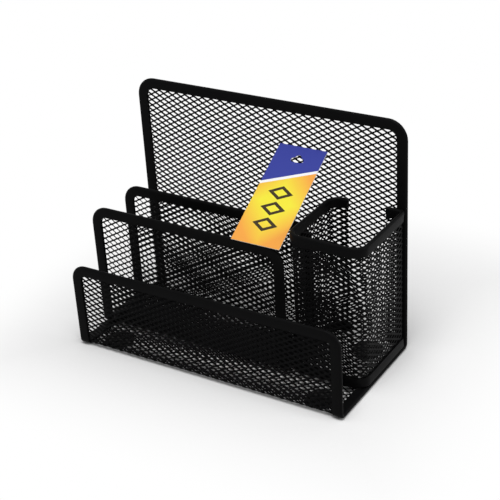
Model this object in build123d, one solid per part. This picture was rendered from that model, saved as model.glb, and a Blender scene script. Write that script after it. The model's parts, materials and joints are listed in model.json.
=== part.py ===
from build123d import *
import os
from math import cos, hypot, radians, sin, tan

# A desk organizer of black expanded-steel mesh: three letter slots beside a pen cup.
# X runs across the slots to the right, Y from the front to the back, Z up.
# The origin is on the table, under the middle of the organizer.

# Overall sizes, in millimetres
width = 200.0
depth = 93.6
front_height = 61.6
divider_height = 92.6
cup_height = 102.8
back_height = 161.0

# Places of the inner walls, from the outside of the front wall to their front face
front_divider_setback = 27.0
rear_divider_setback = 63.6
cup_setback = 29.8

# Pen cup
cup_width = 53.0
cup_corner_radius = 8.0
flange_width = 13.0

# Expanded-steel sheet, drawn coarser than it is: one opening stands for twenty-one of the real ones
mesh_thickness = 0.8
coarseness = 4.6
long_pitch = 6.9 * coarseness
short_pitch = 3.9 * coarseness
strand_width = 1.25 * coarseness
bend_radius = 2.6
bend_upstand = 1.0

# Folded steel rim, which holds the edge of the sheet
rim_width = 7.0
rim_thickness = 2.8
rim_web = 1.0
front_corner_radius = 11.0
divider_corner_radius = 12.5
back_corner_radius = 13.0
rim_bevel = 0.8

# Foot pads
pad_diameter = 20.0
pad_thickness = 1.5
pad_from_side = 22.0
pad_from_end = 15.0

# Card tag, which leans on the front divider's rim and the back wall
tag_width = 34.6
tag_thickness = 0.5
tag_slope = 31.0
tag_overhang = 1.0
tag_from_right = 72.2
hanger_slot_length = 9.0
hanger_slot_width = 3.6
hanger_eye_diameter = 4.4
hanger_slot_drop = 10.4

# Clearances
fold_gap = 0.05
edge_gap = 0.3
seat_gap = 0.2
insert_gap = 0.3
tag_gap = 0.3

# Levels of the sheets and walls
base_level = pad_thickness + mesh_thickness / 2
insert_level = base_level + rim_thickness
cup_foot = base_level + rim_thickness / 2 + seat_gap
front_face = -depth / 2
front_wall = front_face + rim_thickness / 2
back_wall = depth / 2 - rim_thickness / 2
front_divider = front_face + front_divider_setback + rim_thickness / 2
rear_divider = front_face + rear_divider_setback + rim_thickness / 2
insert_right = width / 2 - cup_width - insert_gap

# Mid-lines of the cup's walls, and where its sheet starts and ends
cup_left = width / 2 - cup_width + rim_thickness / 2
cup_right = width / 2 - rim_thickness / 2
cup_front = front_face + cup_setback + rim_thickness / 2
cup_back = depth / 2 - rim_thickness - seat_gap - rim_thickness / 2
cup_sheet_foot = cup_foot + rim_web + edge_gap
cup_sheet_top = cup_height - rim_web - edge_gap

# Openings of the mesh, the least area of one that is cut off, and the border left along a bend
fold_thickness = mesh_thickness + 2 * fold_gap
opening_share = 1 - strand_width * hypot(long_pitch, short_pitch) / (long_pitch * short_pitch)
opening_half_length = opening_share * long_pitch / 2
opening_half_height = opening_share * short_pitch / 2
least_opening = opening_half_length * opening_half_height / 4
bend_border = strand_width / 4


def plate(outline, thickness, plane):
    """A flat piece of this outline, with its thickness centred on the plane."""
    return extrude(plane.offset(-thickness / 2) * outline, thickness, dir=plane.z_dir)


def rectangle(left, right, low, high):
    """A rectangle between these four sides."""
    return Pos((left + right) / 2, (low + high) / 2) * Rectangle(right - left, high - low)


def arch(left, right, low, high, radius):
    """A rectangle with its two upper corners rounded."""
    return fillet(rectangle(left, right, low, high).vertices().group_by(Axis.Y)[-1], radius)


def trough(left, right, low, high, radius):
    """A rectangle with its two lower corners rounded."""
    return fillet(rectangle(left, right, low, high).vertices().group_by(Axis.Y)[0], radius)


def diamond(across, up, half_length, half_height):
    """One opening of the mesh, around this middle."""
    sides = [(half_length, 0), (0, half_height), (-half_length, 0), (0, -half_height)]
    return Pos(across, up) * Polygon(*sides, align=None)


def net(blank, left, right, low, high):
    """The blank as one face, with staggered openings that are cut off at these sides."""
    window = rectangle(left, right, low, high)
    columns = int((right - left + opening_half_length) / long_pitch)
    rows = int((high - low + opening_half_height) / short_pitch)
    openings = []
    for row in range(-rows, rows + 1):
        for column in range(-columns, columns + 1):
            if (row + column) % 2 == 0:
                across = (left + right + column * long_pitch) / 2
                up = (low + high + row * short_pitch) / 2
                opening = window & diamond(across, up, opening_half_length, opening_half_height)
                openings += [face.outer_wire() for face in opening.faces() if face.area > least_opening]
    return Face(blank.face().outer_wire(), openings)


def cross_plane(y):
    """The upright plane across the organizer at this depth, with X and Z as its axes."""
    return Plane(origin=(0, y, 0), x_dir=(1, 0, 0), z_dir=(0, -1, 0))


def side_plane(x):
    """The upright plane from front to back at this place, with Y and Z as its axes."""
    return Plane(origin=(x, 0, 0), x_dir=(0, 1, 0), z_dir=(1, 0, 0))


def wall(left, right, foot, top, y, corner_radius):
    """A flat mesh wall, and the rim folded over its sides and top."""
    plane = cross_plane(y)
    body = plate(arch(left, right, foot, top, corner_radius), rim_thickness, plane)
    outer_edges = body.edges().filter_by(Axis.Y, reverse=True)
    outer_edges = outer_edges.filter_by_position(Axis.Z, foot, top, (False, True))
    sides = left + rim_width, right - rim_width
    window = arch(*sides, foot, top - rim_width, corner_radius - rim_width)
    fold = arch(left + rim_web, right - rim_web, foot, top - rim_web, corner_radius - rim_web)
    inset = rim_web + edge_gap
    blank = arch(left + inset, right - inset, foot, top - inset, corner_radius - inset)
    rim = chamfer(outer_edges, rim_bevel) - plate(window, rim_thickness, plane)
    sheet = net(blank, *sides, foot + bend_border, top - rim_width)
    return plate(sheet, mesh_thickness, plane), rim - plate(fold, fold_thickness, plane)


def tray_section(front, back, level, thickness):
    """The sheet or its rim where it turns up into two walls, seen from the side."""
    half = thickness / 2
    top = level + bend_radius + bend_upstand
    outside = trough(front - half, back + half, level - half, top, bend_radius + half)
    return outside - trough(front + half, back - half, level + half, top, bend_radius - half)


def tray_rim(start, end, outer_edge, front, back, level):
    """The rim along one side of a tray; outer_edge is its start or its end in X."""
    section = tray_section(front, back, level, rim_thickness)
    body = extrude(side_plane(start) * section, end - start)
    top = level + bend_radius + bend_upstand
    outer_edges = body.edges().filter_by_position(Axis.X, outer_edge, outer_edge)
    outer_edges = outer_edges.filter_by_position(Axis.Z, 0, top, (True, False))
    fold_start = start + rim_web if outer_edge == start else start
    fold_section = tray_section(front, back, level, fold_thickness)
    fold = extrude(side_plane(fold_start) * fold_section, end - start - rim_web)
    return chamfer(outer_edges, rim_bevel) - fold


def tray_mesh(left, right, front, back, level):
    """The flat floor of a tray, and the two bent strips where its walls begin."""
    front_bend = front + bend_radius
    back_bend = back - bend_radius
    half = mesh_thickness / 2
    start = left + rim_web + edge_gap
    end = right - rim_web - edge_gap
    blank = rectangle(start, end, front_bend, back_bend)
    sides = left + rim_width, right - rim_width
    sheet = net(blank, *sides, front_bend + bend_border, back_bend - bend_border)
    section = tray_section(front, back, level, mesh_thickness)
    bends = section - rectangle(front_bend, back_bend, level - half, level + half)
    strips = [extrude(side_plane(start) * bend, end - start) for bend in bends.faces().sort_by(Axis.X)]
    return plate(sheet, mesh_thickness, Plane.XY.offset(level)), strips


def bent_sheet(names, left, right, front, back, level, front_top, back_top, front_radius, back_radius):
    """A mesh sheet bent up into a front and a back wall, with a rim along all its free edges."""
    front_name, floor_name, back_name = names
    foot = level + bend_radius + bend_upstand
    front_mesh, front_rim = wall(left, right, foot, front_top, front, front_radius)
    back_mesh, back_rim = wall(left, right, foot, back_top, back, back_radius)
    floor, (front_strip, back_strip) = tray_mesh(left, right, front, back, level)
    return {
        front_name + "_mesh": front_mesh + front_strip,
        front_name + "_rim": front_rim,
        floor_name + "_mesh": floor,
        floor_name + "_rim_left": tray_rim(left, left + rim_width, left, front, back, level),
        floor_name + "_rim_right": tray_rim(right - rim_width, right, right, front, back, level),
        back_name + "_mesh": back_mesh + back_strip,
        back_name + "_rim": back_rim,
    }


def cup_outline(thickness):
    """The cup's wall in plan: three sides, and a flange turned in at each end along the back."""
    middle = Pos((cup_left + cup_right) / 2, (cup_front + cup_back) / 2)
    across = cup_right - cup_left
    along = cup_back - cup_front
    half = thickness / 2
    outside = RectangleRounded(across + thickness, along + thickness, cup_corner_radius + half)
    inside = RectangleRounded(across - thickness, along - thickness, cup_corner_radius - half)
    gap_left = cup_left - rim_thickness / 2 + flange_width
    gap_right = cup_right + rim_thickness / 2 - flange_width
    gap = rectangle(gap_left, gap_right, cup_back - thickness, cup_back + thickness)
    return middle * (outside - inside) - gap


def cup_hoop():
    """The rim of the cup's wall, hanging from its top edge at height zero."""
    body = extrude(Pos(0, 0, -rim_width) * cup_outline(rim_thickness), rim_width)
    fold_depth = rim_width - rim_web
    fold = extrude(Pos(0, 0, -rim_width) * cup_outline(fold_thickness), fold_depth)
    return chamfer(body.faces().sort_by(Axis.Z)[-1].edges(), rim_bevel) - fold


def cup_side(plane, start, end):
    """One flat side of the cup's mesh, between two bends."""
    blank = rectangle(start, end, cup_sheet_foot, cup_sheet_top)
    ends = cup_foot + rim_width, cup_height - rim_width
    sheet = net(blank, start + bend_border, end - bend_border, *ends)
    return plate(sheet, mesh_thickness, plane)


def cup_bend(left, right, low, high, corner_x, corner_y, out_x, out_y):
    """The part of the cup's mesh inside this plan window, with openings round its bend."""
    plan = cup_outline(mesh_thickness) & rectangle(left, right, low, high)
    sheet_height = cup_sheet_top - cup_sheet_foot
    strip = extrude(Pos(0, 0, cup_sheet_foot) * plan, sheet_height)
    half_length = cup_corner_radius * sin(radians(45)) - strand_width / 2
    middle = (cup_foot + cup_height) / 2
    rows = int(((cup_height - cup_foot) / 2 - rim_width - opening_half_height) / short_pitch)
    plane = Plane(origin=(corner_x, corner_y, 0), x_dir=(-out_y, out_x, 0), z_dir=(out_x, out_y, 0))
    for row in range(-rows, rows + 1):
        opening = diamond(0, middle + row * short_pitch, half_length, opening_half_height)
        strip -= extrude(plane * opening, 2 * cup_corner_radius, dir=plane.z_dir)
    return strip


def cup_mesh():
    """The cup's sheet: three flat sides, two front bends, and a bend with a flange at each end."""
    left_bend = cup_left + cup_corner_radius
    right_bend = cup_right - cup_corner_radius
    front_bend = cup_front + cup_corner_radius
    back_bend = cup_back - cup_corner_radius
    left_outside = cup_left - rim_thickness / 2
    right_outside = cup_right + rim_thickness / 2
    front_outside = cup_front - rim_thickness / 2
    back_outside = cup_back + rim_thickness / 2
    flange_left = left_outside + flange_width
    flange_right = right_outside - flange_width
    return {
        "cup_left_mesh": cup_side(side_plane(cup_left), front_bend, back_bend),
        "cup_front_mesh": cup_side(cross_plane(cup_front), left_bend, right_bend),
        "cup_right_mesh": cup_side(side_plane(cup_right), front_bend, back_bend),
        "cup_front_left_bend": cup_bend(
            left_outside, left_bend, front_outside, front_bend, left_bend, front_bend, -1, -1
        ),
        "cup_front_right_bend": cup_bend(
            right_bend, right_outside, front_outside, front_bend, right_bend, front_bend, 1, -1
        ),
        "cup_left_flange": cup_bend(
            left_outside, flange_left, back_bend, back_outside, left_bend, back_bend, -1, 1
        ),
        "cup_right_flange": cup_bend(
            flange_right, right_outside, back_bend, back_outside, right_bend, back_bend, 1, 1
        ),
    }


def foot_pads():
    """Four round pads stuck under the base mesh, one near each corner."""
    disc = extrude(Circle(pad_diameter / 2), pad_thickness)
    across = width / 2 - pad_from_side
    along = depth / 2 - pad_from_end
    return Compound([Pos(x, y) * disc for x in (-across, across) for y in (-along, along)])


def hang_tag():
    """A card with a hanger hole, its lower end on the divider's rim and its top on the back mesh."""
    slope = radians(tag_slope)
    rim_front = front_divider - rim_thickness / 2
    rest_y = rim_front + rim_bevel - tag_gap * sin(slope)
    rest_z = divider_height + tag_gap * cos(slope)
    top_y = back_wall - mesh_thickness / 2 - tag_gap
    top_z = rest_z + (top_y - rest_y) * tan(slope)
    length = (top_y - rest_y) / cos(slope) + tag_overhang
    card = rectangle(-tag_width / 2, tag_width / 2, -length, 0)
    card -= Pos(0, -hanger_slot_drop) * SlotOverall(hanger_slot_length, hanger_slot_width)
    card -= Pos(0, -hanger_slot_drop + hanger_slot_width / 2) * Circle(hanger_eye_diameter / 2)
    plane = Plane(
        origin=(width / 2 - tag_from_right, top_y, top_z),
        x_dir=(1, 0, 0),
        z_dir=(0, -sin(slope), cos(slope)),
    )
    return extrude(plane * card, tag_thickness, dir=plane.z_dir)


# The body: front wall, base and back wall in one bent sheet
nodes = bent_sheet(
    ("front", "base", "back"),
    -width / 2, width / 2, front_wall, back_wall, base_level, front_height, back_height,
    front_corner_radius, back_corner_radius,
)

# The insert: two dividers and the floor between them, lying on the base
nodes |= bent_sheet(
    ("front_divider", "divider_floor", "rear_divider"),
    -width / 2, insert_right, front_divider, rear_divider, insert_level, divider_height, divider_height,
    divider_corner_radius, divider_corner_radius,
)

# The pen cup, standing on the base against the back wall
nodes |= cup_mesh()
hoop = cup_hoop()
nodes["cup_top_rim"] = Pos(0, 0, cup_height) * hoop
nodes["cup_bottom_rim"] = Pos(0, 0, cup_foot) * mirror(hoop, about=Plane.XY)

# Feet and tag
nodes["foot_pads"] = foot_pads()
nodes["hang_tag"] = hang_tag()

os.makedirs("parts", exist_ok=True)
for name, shape in nodes.items():
    export_step(shape, f"parts/{name}.step")
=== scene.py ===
import json
from math import cos, floor, pi, radians, sin, sqrt

import bmesh
import bpy
from mathutils import Matrix, Vector

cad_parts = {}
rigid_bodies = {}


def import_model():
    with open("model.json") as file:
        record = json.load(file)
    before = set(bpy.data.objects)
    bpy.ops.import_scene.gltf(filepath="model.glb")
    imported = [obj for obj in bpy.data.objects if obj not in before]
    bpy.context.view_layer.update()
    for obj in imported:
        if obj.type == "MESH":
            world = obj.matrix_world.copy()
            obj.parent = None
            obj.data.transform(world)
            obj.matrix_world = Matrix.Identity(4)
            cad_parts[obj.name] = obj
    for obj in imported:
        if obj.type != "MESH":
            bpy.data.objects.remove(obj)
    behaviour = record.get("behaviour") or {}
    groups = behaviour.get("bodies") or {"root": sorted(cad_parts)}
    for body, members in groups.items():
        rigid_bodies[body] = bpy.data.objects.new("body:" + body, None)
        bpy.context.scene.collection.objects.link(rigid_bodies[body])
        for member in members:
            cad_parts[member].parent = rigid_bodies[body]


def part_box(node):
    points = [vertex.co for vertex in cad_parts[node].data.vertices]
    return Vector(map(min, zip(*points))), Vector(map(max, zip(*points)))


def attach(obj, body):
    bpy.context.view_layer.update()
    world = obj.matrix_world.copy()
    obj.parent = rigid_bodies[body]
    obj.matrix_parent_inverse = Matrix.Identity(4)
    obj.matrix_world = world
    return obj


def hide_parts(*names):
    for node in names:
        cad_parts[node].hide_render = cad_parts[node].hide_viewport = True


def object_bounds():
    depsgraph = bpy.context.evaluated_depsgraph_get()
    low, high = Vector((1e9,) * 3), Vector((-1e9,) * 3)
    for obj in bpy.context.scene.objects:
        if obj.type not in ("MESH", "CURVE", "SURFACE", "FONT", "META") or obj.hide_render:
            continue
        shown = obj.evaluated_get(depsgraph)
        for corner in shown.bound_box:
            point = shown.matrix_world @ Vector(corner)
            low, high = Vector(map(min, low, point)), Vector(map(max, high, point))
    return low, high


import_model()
cad_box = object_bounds()


# Body sheet: the front wall, the base and the back wall, one blank of expanded steel.
# The steel is slit and stretched, which tilts each strand out of the sheet's plane,
# bent up at the front and the back, and coated with black powder.
long_pitch = 0.0069
short_pitch = 0.0039
body_tilt = -0.0002
strand_width = 0.00112
strand_gauge = 0.00042
opening_fullness = 1.12
sheet_inset = 0.0013
bend_radius = 0.0026
front_corner = 0.011
back_corner = 0.013
corner_cuts = 22.5, 45, 67.5
bend_steps = 8
path_cuts = 3
weld_distance = 0.00001
same_place = 0.000001


def select(test):
    """Selects the vertices of the mesh in edit mode that pass the test, and what lies between them."""
    mesh = bpy.context.object.data
    cage = bmesh.from_edit_mesh(mesh)
    for part in (*cage.faces, *cage.edges, *cage.verts):
        part.select_set(False)
    for vertex in cage.verts:
        if test(vertex.co):
            vertex.select_set(True)
    cage.select_flush(True)
    bmesh.update_edit_mesh(mesh)


def apply_modifier(piece, name, kind, **settings):
    """Adds one modifier to the piece, with its settings, and applies it."""
    modifier = piece.modifiers.new(name, kind)
    for setting, value in settings.items():
        setattr(modifier, setting, value)
    bpy.context.view_layer.objects.active = piece
    bpy.ops.object.modifier_apply(modifier=modifier.name)


def go(x, y, z):
    """Draws what is selected out along a straight line."""
    bpy.ops.mesh.extrude_region_move(TRANSFORM_OT_translate={"value": (x, y, z)})


def turn(centre, axis, angle):
    """Draws what is selected out round a corner, by the right-hand rule about the axis."""
    bpy.ops.mesh.spin(steps=bend_steps, angle=-radians(angle), center=centre, axis=axis)


def start_at(x, y, z):
    """Starts a line at one point, in edit mode."""
    bpy.ops.object.select_all(action="DESELECT")
    bpy.ops.mesh.primitive_plane_add(size=strand_width, enter_editmode=True)
    bpy.ops.mesh.merge(type="CENTER")
    bpy.ops.transform.translate(value=(x, y, z))


def finish_path():
    """Makes the line in edit mode into a curve that a sheet is bent along."""
    bpy.ops.mesh.select_all(action="SELECT")
    bpy.ops.mesh.subdivide(number_cuts=path_cuts)
    bpy.ops.object.mode_set(mode="OBJECT")
    bpy.ops.object.convert(target="CURVE")
    path = bpy.context.object
    path.data.use_path = True
    path.data.use_deform_bounds = False
    return path


def stretched_cell(across, up, tilt):
    """The metal round one opening: a diamond with these two diagonals, inset to the opening.

    Along the shorter one, the tilt sets one side of the opening forward and the other back.
    """
    # Shares of the cell: how far off an axis a vertex counts as off it, and where the border starts
    off_axis = 0.1
    border = 0.49
    to_side = sqrt(0.5)
    bpy.ops.object.select_all(action="DESELECT")
    bpy.ops.mesh.primitive_circle_add(vertices=8, radius=0.5, fill_type="NGON", enter_editmode=True)
    select(lambda co: abs(co.x) > off_axis and abs(co.y) > off_axis)
    bpy.ops.transform.resize(value=(to_side, to_side, 1))
    bpy.ops.mesh.select_all(action="SELECT")
    bpy.ops.transform.resize(value=(across, up, 1))
    bpy.ops.mesh.inset(thickness=strand_width / 2)

    def inside(co):
        return abs(co.x) / across + abs(co.y) / up < border

    select(lambda co: inside(co) and abs(co.x) > off_axis * across and abs(co.y) > off_axis * up)
    bpy.ops.transform.resize(value=(opening_fullness, opening_fullness, 1))
    select(inside)
    bpy.ops.mesh.delete(type="ONLY_FACE")
    for side in (-1, 1):
        if across < up:
            select(lambda co: inside(co) and side * co.x > off_axis * across)
        else:
            select(lambda co: inside(co) and side * co.y > off_axis * up)
        bpy.ops.transform.translate(value=(0, 0, side * tilt))


def net(name, left, right, low, high, cell, corners=()):
    """A flat piece of expanded sheet between these sides, upright in X and Z, with some corners round."""
    across, up, tilt = cell
    first_column = floor(left / across)
    first_row = floor(low / up)
    stretched_cell(across, up, tilt)
    bpy.ops.mesh.select_all(action="SELECT")
    bpy.ops.mesh.duplicate()
    bpy.ops.transform.translate(value=(across / 2, up / 2, 0))
    bpy.ops.mesh.select_all(action="SELECT")
    bpy.ops.transform.translate(value=(first_column * across, first_row * up, 0))
    bpy.ops.object.mode_set(mode="OBJECT")
    piece = bpy.context.object
    piece.name = name
    columns = floor(right / across) - first_column + 2
    rows = floor(high / up) - first_row + 2
    for count, step in ((columns, (across, 0, 0)), (rows, (0, up, 0))):
        apply_modifier(
            piece, "repeat", "ARRAY", count=count, use_relative_offset=False,
            use_constant_offset=True, constant_offset_displace=step,
        )
    cuts = [((left, 0), (-1, 0)), ((right, 0), (1, 0)), ((0, low), (0, -1)), ((0, high), (0, 1))]
    for side_x, side_y, radius in corners:
        reach = radius - sheet_inset
        x = right - reach if side_x > 0 else left + reach
        y = high - reach if side_y > 0 else low + reach
        for angle in corner_cuts:
            out_x = side_x * cos(radians(angle))
            out_y = side_y * sin(radians(angle))
            cuts.append(((x + reach * out_x, y + reach * out_y), (out_x, out_y)))
    bpy.ops.object.mode_set(mode="EDIT")
    bpy.ops.mesh.select_all(action="SELECT")
    bpy.ops.mesh.remove_doubles(threshold=weld_distance)
    for point, outwards in cuts:
        bpy.ops.mesh.select_all(action="SELECT")
        bpy.ops.mesh.bisect(
            plane_co=(*point, 0), plane_no=(*outwards, 0), clear_outer=True, threshold=same_place,
        )
    # Crumbs that the cuts leave at the edges are cleared away
    select(lambda co: abs(co.x - (left + right) / 2) < across and abs(co.y - (low + high) / 2) < up)
    bpy.ops.mesh.select_linked()
    bpy.ops.mesh.select_all(action="INVERT")
    bpy.ops.mesh.delete(type="VERT")
    bpy.ops.object.mode_set(mode="OBJECT")
    piece.rotation_euler = (pi / 2, 0, 0)
    bpy.ops.object.transform_apply(location=False, rotation=True, scale=False)
    return piece


def bend_along(piece, path):
    """Bends a flat piece of sheet along the path, and gives the strands their thickness."""
    apply_modifier(piece, "bend", "CURVE", object=path, deform_axis="POS_X")
    apply_modifier(piece, "gauge", "SOLIDIFY", thickness=strand_gauge, offset=0)


def middle(node):
    """The middle of a node's box."""
    low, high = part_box(node)
    return (low + high) / 2


def bent_sheet(front, base, back, front_radius, back_radius, cell, coat):
    """The three walls of one bent sheet, whose path runs from the front's top edge to the back's.

    The path is drawn lying down, with the object's Y and Z as its X and Y, and the walls are stood up.
    """
    stand_up = Matrix(((0, 0, 1, 0), (1, 0, 0, 0), (0, 1, 0, 0), (0, 0, 0, 1)))
    (left, _, _), (right, _, front_top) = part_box(front + "_rim")
    back_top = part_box(back + "_rim")[1].z
    front_y = middle(front + "_rim").y
    back_y = middle(back + "_rim").y
    foot = middle(base + "_mesh").z + bend_radius
    start_at(front_y, front_top - sheet_inset, 0)
    go(0, foot - front_top + sheet_inset, 0)
    turn((front_y + bend_radius, foot, 0), (0, 0, 1), 90)
    go(back_y - front_y - 2 * bend_radius, 0, 0)
    turn((back_y - bend_radius, foot, 0), (0, 0, 1), 90)
    go(0, back_top - sheet_inset - foot, 0)
    path = finish_path()
    bend = bend_radius * pi / 2
    front_end = front_top - sheet_inset - foot + bend
    base_end = front_end + back_y - front_y - 2 * bend_radius
    back_end = base_end + bend + back_top - sheet_inset - foot
    sides = left + sheet_inset, right - sheet_inset
    front_corners = (-1, -1, front_radius), (-1, 1, front_radius)
    back_corners = (1, -1, back_radius), (1, 1, back_radius)
    walls = (
        (front + "_mesh", net(front + "_net", 0, front_end, *sides, cell, front_corners)),
        (base + "_mesh", net(base + "_net", front_end, base_end, *sides, cell)),
        (back + "_mesh", net(back + "_net", base_end, back_end, *sides, cell, back_corners)),
    )
    for node, piece in walls:
        bend_along(piece, path)
        piece.data.transform(stand_up)
        piece.data.materials.append(coat)
        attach(piece, "organizer")
        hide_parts(node)
    bpy.data.objects.remove(path)


class Socket:
    """An output of a shader node. Arithmetic on it adds Math nodes."""

    def __init__(self, finish, output):
        self.finish = finish
        self.output = output

    def math(self, operation, first, second):
        return self.finish.node("ShaderNodeMath", {"operation": operation}, {0: first, 1: second})

    def __add__(self, other):
        return self.math("ADD", self, other)

    def __radd__(self, other):
        return self.math("ADD", other, self)

    def __sub__(self, other):
        return self.math("SUBTRACT", self, other)

    def __rsub__(self, other):
        return self.math("SUBTRACT", other, self)

    def __mul__(self, other):
        return self.math("MULTIPLY", self, other)

    def __rmul__(self, other):
        return self.math("MULTIPLY", other, self)

    def __truediv__(self, other):
        return self.math("DIVIDE", self, other)

    def __rtruediv__(self, other):
        return self.math("DIVIDE", other, self)

    def __mod__(self, other):
        return self.math("FLOORED_MODULO", self, other)

    def __rmod__(self, other):
        return self.math("FLOORED_MODULO", other, self)

    def __abs__(self):
        return self.math("ABSOLUTE", self, 0)

    def __gt__(self, other):
        return self.math("GREATER_THAN", self, other)

    def __lt__(self, other):
        return self.math("LESS_THAN", self, other)


class Finish:
    """The nodes of a material, or of the surround, that feed its shader."""

    def __init__(self, block, shader="Principled BSDF"):
        block.use_nodes = True
        self.block = block
        self.nodes = block.node_tree.nodes
        self.links = block.node_tree.links
        self.shader = self.nodes[shader]

    def feed(self, node, inputs):
        for name, value in inputs.items():
            if isinstance(value, Socket):
                self.links.new(value.output, node.inputs[name])
            else:
                node.inputs[name].default_value = value

    def node(self, kind, settings, inputs, output=0):
        node = self.nodes.new(kind)
        for name, value in settings.items():
            if name == "stops":
                for element, (position, colour) in zip(node.color_ramp.elements, value):
                    element.position = position
                    element.color = colour
            else:
                setattr(node, name, value)
        self.feed(node, inputs)
        return Socket(self, node.outputs[output])

    def place(self):
        return self.node("ShaderNodeTexCoord", {}, {}, "Object")

    def noise(self, scale, detail):
        return self.node("ShaderNodeTexNoise", {}, {"Vector": self.place(), "Scale": scale, "Detail": detail})

    def mix(self, share, first, second):
        inputs = {"Factor": share, 6: first, 7: second}
        return self.node("ShaderNodeMix", {"data_type": "RGBA"}, inputs, 2)

    def bump(self, height, strength, distance):
        return self.node("ShaderNodeBump", {}, {"Height": height, "Strength": strength, "Distance": distance})


def powder_coat(name, dark, light, roughness):
    """Black powder coat: a dull film with an orange-peel surface, a little uneven in tone and gloss."""
    noise_mean = 0.5
    peel_share = 0.16
    cloud_share = 0.1
    finish = Finish(bpy.data.materials.new(name))
    clouds = finish.noise(scale=45, detail=3)
    peel = finish.noise(scale=1300, detail=2)
    finish.feed(finish.shader, {
        "Base Color": finish.mix(clouds, dark, light),
        "Roughness": roughness + peel_share * (peel - noise_mean) + cloud_share * (clouds - noise_mean),
        "Normal": finish.bump(peel, strength=0.4, distance=0.00006),
        "Specular IOR Level": 0.022,
    })
    return finish.block


coated_mesh = powder_coat(
    "coated_mesh", dark=(0.003, 0.003, 0.0032, 1), light=(0.006, 0.006, 0.0063, 1), roughness=0.42,
)
body_cell = short_pitch, long_pitch, body_tilt
bent_sheet("front", "base", "back", front_corner, back_corner, body_cell, coated_mesh)


# Body rim: a steel strip folded lengthwise over the free edges of the body sheet and pressed
# tight on the mesh. It runs round the front, along both sides of the base and round the back
# in one loop, bent at the corners, and has the same black coat.
strip_gauge = 0.0005
lip_pinch = 0.0004
fold_sides = 16
fold_crease = radians(40)


def folded_strip(y, top, thickness, strip_width):
    """The folded strip in section at x = 0: its round edge up, and a lip down each side of y."""
    radius = (thickness - strip_gauge) / 2
    centre = top - thickness / 2
    bpy.ops.object.select_all(action="DESELECT")
    bpy.ops.mesh.primitive_circle_add(
        vertices=fold_sides, radius=radius, location=(0, y, centre), rotation=(0, pi / 2, 0),
    )
    bpy.ops.object.transform_apply(location=True, rotation=True, scale=True)
    bpy.ops.object.mode_set(mode="EDIT")
    select(lambda co: co.z < centre - same_place)
    bpy.ops.mesh.delete(type="VERT")
    for side in (-1, 1):
        select(lambda co: abs(co.z - centre) < same_place and side * (co.y - y) > 0)
        go(0, -side * lip_pinch, thickness / 2 - strip_width)
    bpy.ops.mesh.select_all(action="SELECT")


def finish_strip(name, coat, *nodes):
    """Gives the folded surface in edit mode the gauge of the strip, its coat and its place."""
    bpy.ops.mesh.select_all(action="SELECT")
    bpy.ops.mesh.remove_doubles(threshold=weld_distance)
    bpy.ops.mesh.normals_make_consistent(inside=False)
    bpy.ops.object.mode_set(mode="OBJECT")
    piece = bpy.context.object
    piece.name = name
    apply_modifier(piece, "gauge", "SOLIDIFY", thickness=strip_gauge, offset=0)
    bpy.ops.object.shade_smooth_by_angle(angle=fold_crease)
    piece.data.materials.append(coat)
    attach(piece, "organizer")
    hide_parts(*nodes)
    return piece


def sheet_rim(name, front, base, back, front_radius, back_radius, coat):
    """The rim of a bent sheet: one half, from the middle of the front's top edge to the back's, mirrored."""
    (left, front_low, _), (right, front_high, front_top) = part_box(front + "_rim")
    thickness = front_high - front_low
    strip_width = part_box(base + "_rim_left")[1].x - left
    back_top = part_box(back + "_rim")[1].z
    front_y = middle(front + "_rim").y
    back_y = middle(back + "_rim").y
    side = (right - left) / 2
    foot = middle(base + "_mesh").z + bend_radius
    front_corner_x = side - front_radius
    back_corner_x = side - back_radius
    folded_strip(front_y, front_top, thickness, strip_width)
    go(front_corner_x, 0, 0)
    turn((front_corner_x, front_y, front_top - front_radius), (0, 1, 0), 90)
    go(0, 0, foot - front_top + front_radius)
    turn((side, front_y + bend_radius, foot), (1, 0, 0), 90)
    go(0, back_y - front_y - 2 * bend_radius, 0)
    turn((side, back_y - bend_radius, foot), (1, 0, 0), 90)
    go(0, 0, back_top - back_radius - foot)
    turn((back_corner_x, back_y, back_top - back_radius), (0, 1, 0), -90)
    go(-back_corner_x, 0, 0)
    bpy.ops.object.mode_set(mode="OBJECT")
    half = bpy.context.object
    apply_modifier(half, "other_half", "MIRROR", use_axis=(True, False, False), merge_threshold=weld_distance)
    half.data.transform(Matrix.Translation(((left + right) / 2, 0, 0)))
    bpy.ops.object.mode_set(mode="EDIT")
    finish_strip(name, coat, front + "_rim", base + "_rim_left", base + "_rim_right", back + "_rim")


coated_strip = powder_coat(
    "coated_strip", dark=(0.003, 0.003, 0.0032, 1), light=(0.005, 0.005, 0.0052, 1), roughness=0.36,
)
sheet_rim("body_rim", "front", "base", "back", front_corner, back_corner, coated_strip)


# Insert: two dividers and the floor between them, a second blank of expanded steel, stretched
# a little further than the body's, with its strands tilted the other way. It is bent and
# rimmed like the body, lies on the base and is spot-welded to it.
divider_corner = 0.0125
insert_stretch = 1.02
insert_tilt = 0.0006
insert_walls = "front_divider", "divider_floor", "rear_divider"
insert_cell = insert_stretch * short_pitch, insert_stretch * long_pitch, insert_tilt
bent_sheet(*insert_walls, divider_corner, divider_corner, insert_cell, coated_mesh)
sheet_rim("insert_rim", *insert_walls, divider_corner, divider_corner, coated_strip)


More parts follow.
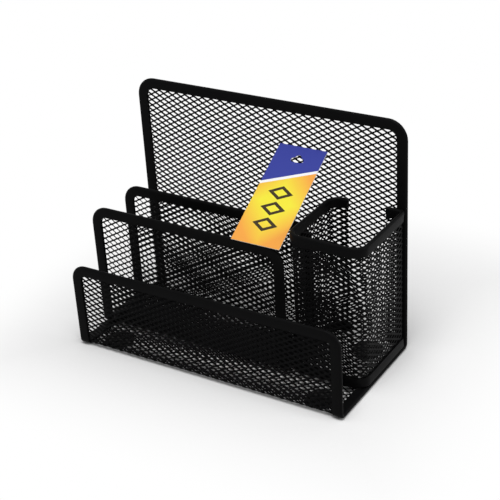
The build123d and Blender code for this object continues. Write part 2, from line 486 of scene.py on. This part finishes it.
# Pen cup: a strip of expanded steel, rolled flat and bent round into a square tube with round
# corners, the last one tighter. Its two ends turn in as flanges along the back wall, which closes
# the cup. A folded strip runs along its top edge, and another along its foot.
(cup_left, cup_front, cup_rim_foot), (cup_right, cup_back, cup_top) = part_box("cup_top_rim")
cup_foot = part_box("cup_bottom_rim")[0].z
half_rim = middle("cup_left_mesh").x - cup_left
left_flange_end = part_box("cup_left_flange")[1].x
right_flange_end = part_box("cup_right_flange")[0].x
cup_tilt = 0
cup_bend = 0.008
tight_bend = 0.003
front_line = cup_front + half_rim
back_line = cup_back - half_rim
right_line = cup_right - half_rim
left_line = cup_left + half_rim
left_flange_run = left_flange_end - left_line - cup_bend
left_run = back_line - front_line - 2 * cup_bend
front_run = right_line - left_line - 2 * cup_bend
right_run = back_line - front_line - cup_bend - tight_bend
right_flange_run = right_line - right_flange_end - tight_bend


def go_round_cup():
    """Draws what is selected round the cup, from the end of its left flange to that of its right one."""
    upright = 0, 0, 1
    go(-left_flange_run, 0, 0)
    turn((left_line + cup_bend, back_line - cup_bend, 0), upright, 90)
    go(0, -left_run, 0)
    turn((left_line + cup_bend, front_line + cup_bend, 0), upright, 90)
    go(front_run, 0, 0)
    turn((right_line - cup_bend, front_line + cup_bend, 0), upright, 90)
    go(0, right_run, 0)
    turn((right_line - tight_bend, back_line - tight_bend, 0), upright, 90)
    go(-right_flange_run, 0, 0)


start_at(left_flange_end, back_line, 0)
go_round_cup()
cup_path = finish_path()
cup_bends = (3 * cup_bend + tight_bend) * pi / 2
cup_girth = left_flange_run + left_run + front_run + right_run + right_flange_run + cup_bends
cup_cell = long_pitch, short_pitch, cup_tilt
cup_net = net("cup_net", 0, cup_girth, cup_foot + sheet_inset, cup_top - sheet_inset, cup_cell)
bend_along(cup_net, cup_path)
bpy.data.objects.remove(cup_path)
cup_net.data.materials.append(coated_mesh)
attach(cup_net, "organizer")
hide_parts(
    "cup_left_mesh", "cup_front_mesh", "cup_right_mesh", "cup_front_left_bend",
    "cup_front_right_bend", "cup_left_flange", "cup_right_flange",
)

cup_strip_width = cup_top - cup_rim_foot
for rim_node, facing, edge in (("cup_top_rim", 1, cup_top), ("cup_bottom_rim", -1, cup_foot)):
    folded_strip(back_line, 0, 2 * half_rim, cup_strip_width)
    bpy.ops.transform.translate(value=(left_flange_end, 0, 0))
    go_round_cup()
    rim = finish_strip(rim_node.replace("rim", "strip"), coated_strip, rim_node)
    rim.data.transform(Matrix.Diagonal((1, 1, facing, 1)))
    if facing < 0:
        rim.data.flip_normals()
    rim.data.transform(Matrix.Translation((0, 0, edge)))


# Foot pads: four discs punched from black foam rubber, stuck under the corners of the base
# so that the steel doesn't scratch the desk.
pad_radius = 0.01
pad_round = 0.0004
pad_sides = 48
pad_crease = radians(30)
pads_low, pads_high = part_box("foot_pads")
pad_height = pads_high.z - pads_low.z
pad_across = pads_high.x - pad_radius
pad_along = pads_high.y - pad_radius

foam = Finish(bpy.data.materials.new("foam_rubber"))
foam_cells = foam.node("ShaderNodeTexVoronoi", {}, {"Vector": foam.place(), "Scale": 1600})
foam_clouds = foam.noise(scale=120, detail=3)
foam_dark = (0.012, 0.012, 0.012, 1)
foam_light = (0.03, 0.03, 0.029, 1)
foam_smoothest = 0.82
foam_spread = 0.15
foam.feed(foam.shader, {
    "Base Color": foam.mix(foam_clouds, foam_dark, foam_light),
    "Roughness": foam_smoothest + foam_spread * foam_clouds,
    "Normal": foam.bump(foam_cells, strength=0.5, distance=0.0002),
    "Specular IOR Level": 0.25,
})

bpy.ops.object.select_all(action="DESELECT")
bpy.ops.mesh.primitive_cylinder_add(
    vertices=pad_sides, radius=pad_radius, depth=pad_height, location=(pad_across, pad_along, pad_height / 2),
)
bpy.ops.object.transform_apply(location=True, rotation=True, scale=True)
pads = bpy.context.object
pads.name = "foot_pads_foam"
bpy.ops.object.mode_set(mode="EDIT")
select(lambda co: co.z < pad_height / 2)
bpy.ops.mesh.bevel(offset=pad_round, segments=3, affect="EDGES")
bpy.ops.object.mode_set(mode="OBJECT")
for axis in ((True, False, False), (False, True, False)):
    apply_modifier(pads, "copy", "MIRROR", use_axis=axis, use_mirror_merge=False)
bpy.ops.object.shade_smooth_by_angle(angle=pad_crease)
pads.data.materials.append(foam.block)
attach(pads, "organizer")
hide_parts("foot_pads")


# Tag: a loose card, printed on its face and left white on its back, with a hanger hole punched
# through it. It leans with its lower end on the front divider's rim and its top on the back wall.
tag_slope = radians(31)
tag_gauge = 0.0005
tag_edge = 0.00008
tag_crease = radians(40)
hanger_slot_length = 0.009
hanger_slot_width = 0.0036
hanger_eye = 0.0044
hanger_drop = 0.0104
punch_depth = 4 * tag_gauge
punch_sides = 32
tag_low, tag_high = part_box("hang_tag")
tag_width = tag_high.x - tag_low.x
tag_length = (tag_high.y - tag_low.y - tag_gauge * sin(tag_slope)) / cos(tag_slope)
tag_top = Vector((middle("hang_tag").x, tag_high.y, tag_high.z - tag_gauge * cos(tag_slope)))

bpy.ops.object.select_all(action="DESELECT")
bpy.ops.mesh.primitive_cube_add(
    size=1, location=(0, -tag_length / 2, tag_gauge / 2), scale=(tag_width, tag_length, tag_gauge),
)
bpy.ops.object.transform_apply(location=True, rotation=True, scale=True)
tag = bpy.context.object
tag.name = "printed_tag"
for diameter, drop, stretch in (
    (hanger_slot_width, hanger_drop, hanger_slot_length - hanger_slot_width),
    (hanger_eye, hanger_drop - hanger_slot_width / 2, 0),
):
    bpy.ops.object.select_all(action="DESELECT")
    bpy.ops.mesh.primitive_cylinder_add(
        vertices=punch_sides, radius=diameter / 2, depth=punch_depth, location=(0, -drop, tag_gauge / 2),
    )
    bpy.ops.object.transform_apply(location=True, rotation=True, scale=True)
    punch = bpy.context.object
    bpy.ops.object.mode_set(mode="EDIT")
    for side in (-1, 1):
        select(lambda co: side * co.x > same_place)
        bpy.ops.transform.translate(value=(side * stretch / 2, 0, 0))
    bpy.ops.object.mode_set(mode="OBJECT")
    apply_modifier(tag, "hole", "BOOLEAN", object=punch, operation="DIFFERENCE", solver="EXACT")
    bpy.data.objects.remove(punch)
apply_modifier(
    tag, "edges", "BEVEL", width=tag_edge, segments=2, limit_method="ANGLE", angle_limit=tag_crease,
)

blue = (0.032, 0.045, 0.3, 1)
white = (0.86, 0.86, 0.88, 1)
orange = (0.88, 0.37, 0.06, 1)
yellow = (0.86, 0.77, 0.045, 1)
brown = (0.035, 0.022, 0.006, 1)

# The print is laid out in shares of the card's width and length, from the middle of its top edge.
stripe_high = -0.3
stripe_low = -0.33
stripe_slant = 0.2
field_heart = -0.58
heart_squash = 0.5
heart_stop = 0.16
rim_stop = 0.5
rhombs_high = -0.4
rhombs_low = -0.88
rhomb_step = 0.16
rhomb_width = 0.26
rhomb_height = 0.07
rhomb_open = 0.55
print_face = Finish(bpy.data.materials.new("printed_card"))
flat = print_face.node(
    "ShaderNodeMapping",
    {"vector_type": "TEXTURE"},
    {
        "Vector": print_face.place(),
        "Location": tag_top,
        "Rotation": (tag_slope, 0, 0),
        "Scale": (tag_width, tag_length, 1),
    },
)
card_x = print_face.node("ShaderNodeSeparateXYZ", {}, {0: flat}, "X")
card_y = print_face.node("ShaderNodeSeparateXYZ", {}, {0: flat}, "Y")
from_heart = heart_squash * abs(card_x) + abs(card_y - field_heart)
shades = (heart_stop, yellow), (rim_stop, orange)
field = print_face.node("ShaderNodeValToRGB", {"stops": shades}, {0: from_heart})
row = (card_y - rhombs_low) % rhomb_step - rhomb_step / 2
spread = abs(card_x) / rhomb_width + abs(row) / rhomb_height
rhomb = (spread < 1) * (spread > rhomb_open) * (card_y < rhombs_high) * (card_y > rhombs_low)
slant = card_y - stripe_slant * card_x
face = print_face.mix(rhomb, field, brown)
face = print_face.mix(slant > stripe_low, face, white)
face = print_face.mix(slant > stripe_high, face, blue)
fibres = print_face.noise(scale=900, detail=3)
print_smoothest = 0.42
print_spread = 0.12
print_face.feed(print_face.shader, {
    "Base Color": face,
    "Roughness": print_smoothest + print_spread * fibres,
    "Normal": print_face.bump(fibres, strength=0.12, distance=0.00004),
    "Specular IOR Level": 0.2,
})

core = Finish(bpy.data.materials.new("white_card"))
core_fibres = core.noise(scale=700, detail=4)
core_dark = (0.72, 0.71, 0.68, 1)
core_light = (0.83, 0.82, 0.79, 1)
core_smoothest = 0.75
core_spread = 0.1
core.feed(core.shader, {
    "Base Color": core.mix(core_fibres, core_dark, core_light),
    "Roughness": core_smoothest + core_spread * core_fibres,
    "Normal": core.bump(core_fibres, strength=0.3, distance=0.00005),
})

facing_up = 0.9
tag.data.materials.append(print_face.block)
tag.data.materials.append(core.block)
for polygon in tag.data.polygons:
    polygon.material_index = 0 if polygon.normal.z > facing_up else 1
tag.data.transform(Matrix.Translation(tag_top) @ Matrix.Rotation(tag_slope, 4, "X"))
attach(tag, "tag")
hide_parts("hang_tag")


# Studio: a white paper floor under a white surround, a large soft box overhead and another
# to the right, and the camera where the photograph was taken from. The paper keeps the
# shadow under and behind the object and goes white past it.
floor_size = 8
shadow_length = 0.09
shadow_edge = 0.1
surround_light = 0.3
pure_white = (1, 1, 1, 1)


def showing(finish):
    """1 on the rays that show the background: to the camera, off gloss, or through what is clear."""
    camera_ray, gloss_ray, clear_ray = (
        finish.node("ShaderNodeLightPath", {}, {}, f"Is {kind} Ray")
        for kind in ("Camera", "Glossy", "Transmission")
    )
    return camera_ray + gloss_ray + clear_ray


bpy.ops.object.select_all(action="DESELECT")
bpy.ops.mesh.primitive_plane_add(size=floor_size)
floor_sheet = bpy.context.object
floor_sheet.name = "floor"
paper = Finish(bpy.data.materials.new("floor_paper"))
grain = paper.noise(scale=400, detail=3)
paper_dark = (0.9, 0.9, 0.9, 1)
paper_light = (0.92, 0.92, 0.92, 1)
paper.feed(paper.shader, {
    "Base Color": paper.mix(grain, paper_dark, paper_light),
    "Roughness": 0.9,
    "Specular IOR Level": 0.1,
})
floor_x = paper.node("ShaderNodeSeparateXYZ", {}, {0: paper.place()}, "X")
floor_y = paper.node("ShaderNodeSeparateXYZ", {}, {0: paper.place()}, "Y")
beside = abs(floor_x) - cad_box[1][0]
behind = abs(floor_y - shadow_length / 2) - (cad_box[1][1] + shadow_length / 2)
past_shadow = paper.node("ShaderNodeMath", {"operation": "MAXIMUM"}, {0: beside, 1: behind})
whiteness = paper.node(
    "ShaderNodeMapRange", {"interpolation_type": "SMOOTHSTEP"},
    {"Value": past_shadow, "From Max": shadow_edge},
)
lit_paper = Socket(paper, paper.shader.outputs["BSDF"])
white_paper = paper.node("ShaderNodeEmission", {}, {"Color": pure_white, "Strength": 1})
paper.feed(paper.nodes["Material Output"], {
    "Surface": paper.node(
        "ShaderNodeMixShader", {}, {0: whiteness * showing(paper), 1: lit_paper, 2: white_paper},
    ),
})
floor_sheet.data.materials.append(paper.block)

surround = Finish(bpy.data.worlds.new("surround"), "Background")
surround.feed(surround.shader, {
    "Color": pure_white,
    "Strength": surround.node(
        "ShaderNodeMapRange", {}, {"Value": showing(surround), "To Min": surround_light, "To Max": 1},
    ),
})
bpy.context.scene.world = surround.block


def soft_box(name, place, aim, size, power):
    """A square area lamp at this place, turned towards the aim."""
    bpy.ops.object.light_add(type="AREA", location=place)
    lamp = bpy.context.object
    lamp.name = name
    lamp.data.shape = "SQUARE"
    lamp.data.size = size
    lamp.data.energy = power
    lamp.rotation_euler = (Vector(aim) - Vector(place)).to_track_quat("-Z", "Y").to_euler()


soft_box("overhead_box", place=(0.15, -0.3, 1.3), aim=(0, 0, 0.05), size=0.7, power=12)
soft_box("right_box", place=(1.1, 0.1, 0.6), aim=(0, 0, 0.08), size=0.45, power=3.2)

azimuth = radians(32.851)
elevation = radians(27.961)
roll = radians(-3.492)
distance = 0.832349
aim = Vector((0.004026, 0.010941, 0.068226))
turned = Matrix.Rotation(azimuth, 4, "Z")
turned @= Matrix.Rotation(pi / 2 - elevation, 4, "X")
turned @= Matrix.Rotation(roll, 4, "Z")
camera = bpy.data.objects.new("camera", bpy.data.cameras.new("camera"))
bpy.context.scene.collection.objects.link(camera)
camera.data.sensor_width = 36
camera.data.lens = 92.262
camera.matrix_world = Matrix.Translation(aim + turned.to_3x3() @ Vector((0, 0, distance))) @ turned
bpy.context.scene.camera = camera
bpy.context.scene.view_settings.view_transform = "Standard"
